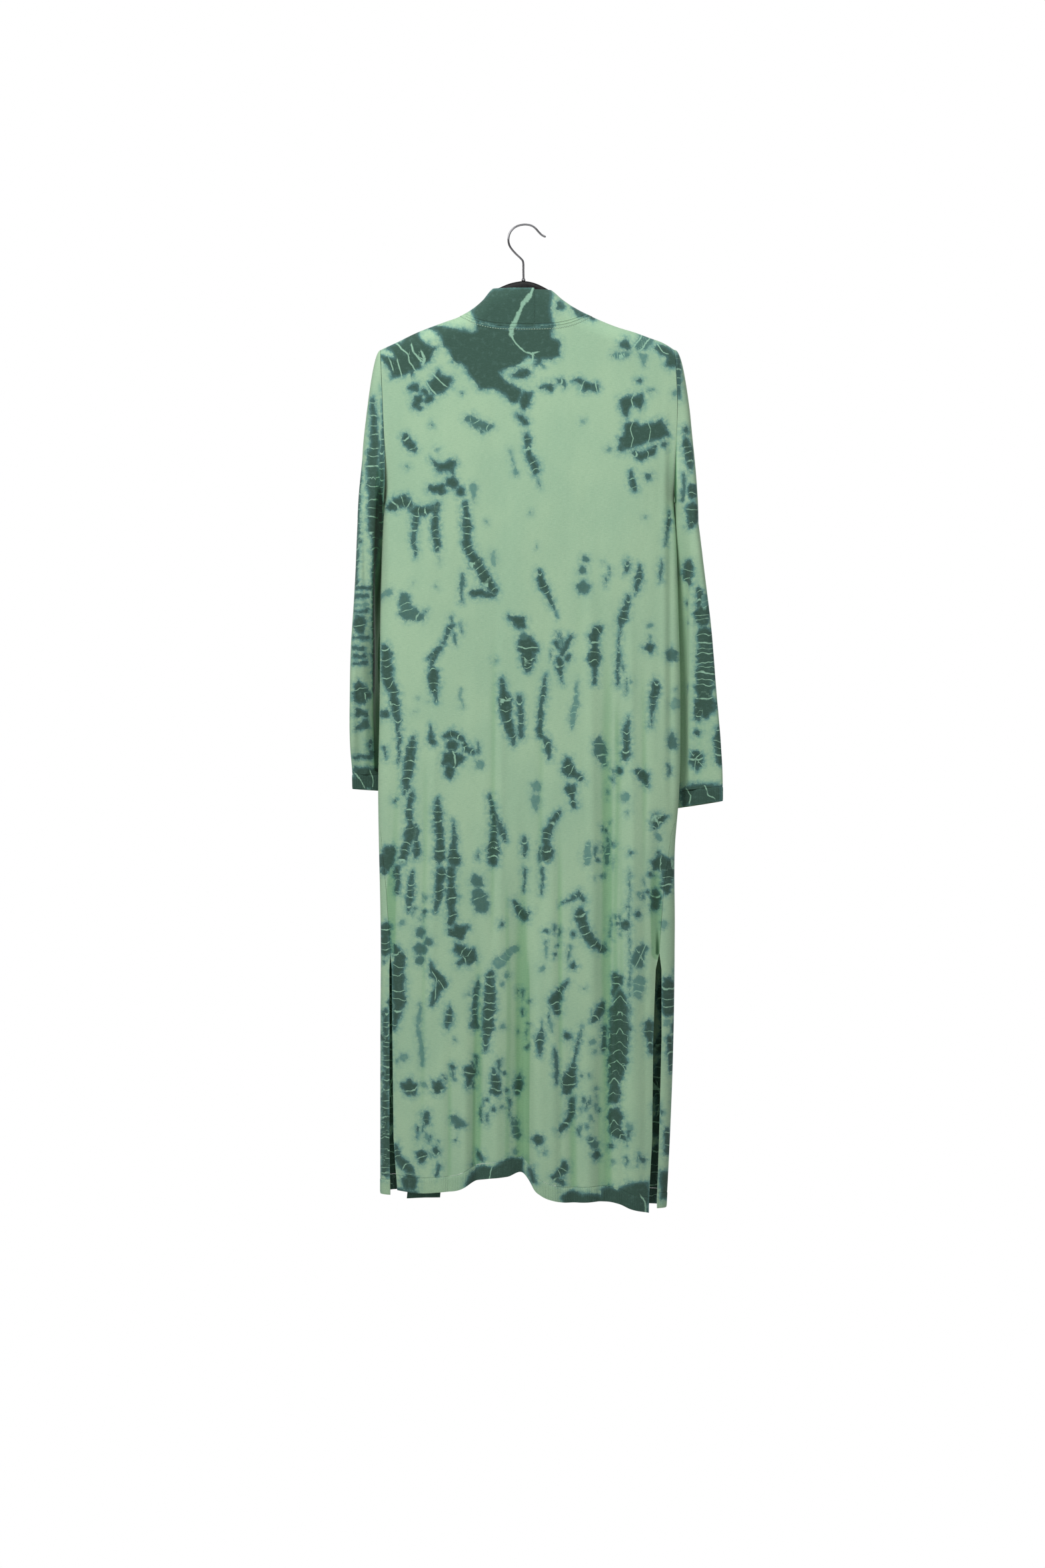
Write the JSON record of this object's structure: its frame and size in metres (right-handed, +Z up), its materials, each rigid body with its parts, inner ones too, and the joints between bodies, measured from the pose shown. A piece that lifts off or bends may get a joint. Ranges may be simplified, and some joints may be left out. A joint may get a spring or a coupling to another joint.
{
  "type": "duster cardigan on a hanger",
  "caption": "Long open-front jersey cardigan with a neck band, long sleeves, side slits and ribbed hems, hanging from a wire-hook hanger.",
  "frame": {"origin": "the inner side of the hook's crown, where a rail carries it", "axes": "+Z up, +Y to the cardigan's front, so that its back faces -Y, and +X to the wearer's right"},
  "size_m": [0.5314, 0.1255, 1.4073],
  "materials": {
    "tie_dyed_jersey": "soft heathered jersey in light green, with dark green tie-dyed stains",
    "ribbed_knit": "ribbed jersey, mostly dark green with light green parts",
    "neck_band": "doubled jersey, tie-dyed in dark and light green",
    "hanger_plastic": "black moulded plastic with a soft shine",
    "hook_wire": "bright plated steel wire"
  },
  "bodies": {
    "root": {"back": "tie_dyed_jersey", "back_rib": "ribbed_knit", "front_left": "tie_dyed_jersey", "front_right": "tie_dyed_jersey", "front_left_rib": "ribbed_knit", "front_right_rib": "ribbed_knit", "band_left": "neck_band", "band_right": "neck_band", "band_left_rib": "ribbed_knit", "band_right_rib": "ribbed_knit", "sleeve_left": "tie_dyed_jersey", "sleeve_right": "tie_dyed_jersey", "cuff_left": "ribbed_knit", "cuff_right": "ribbed_knit", "hanger": "hanger_plastic", "hook": "hook_wire", "hook_collar": "hook_wire"}
  },
  "joints": []
}
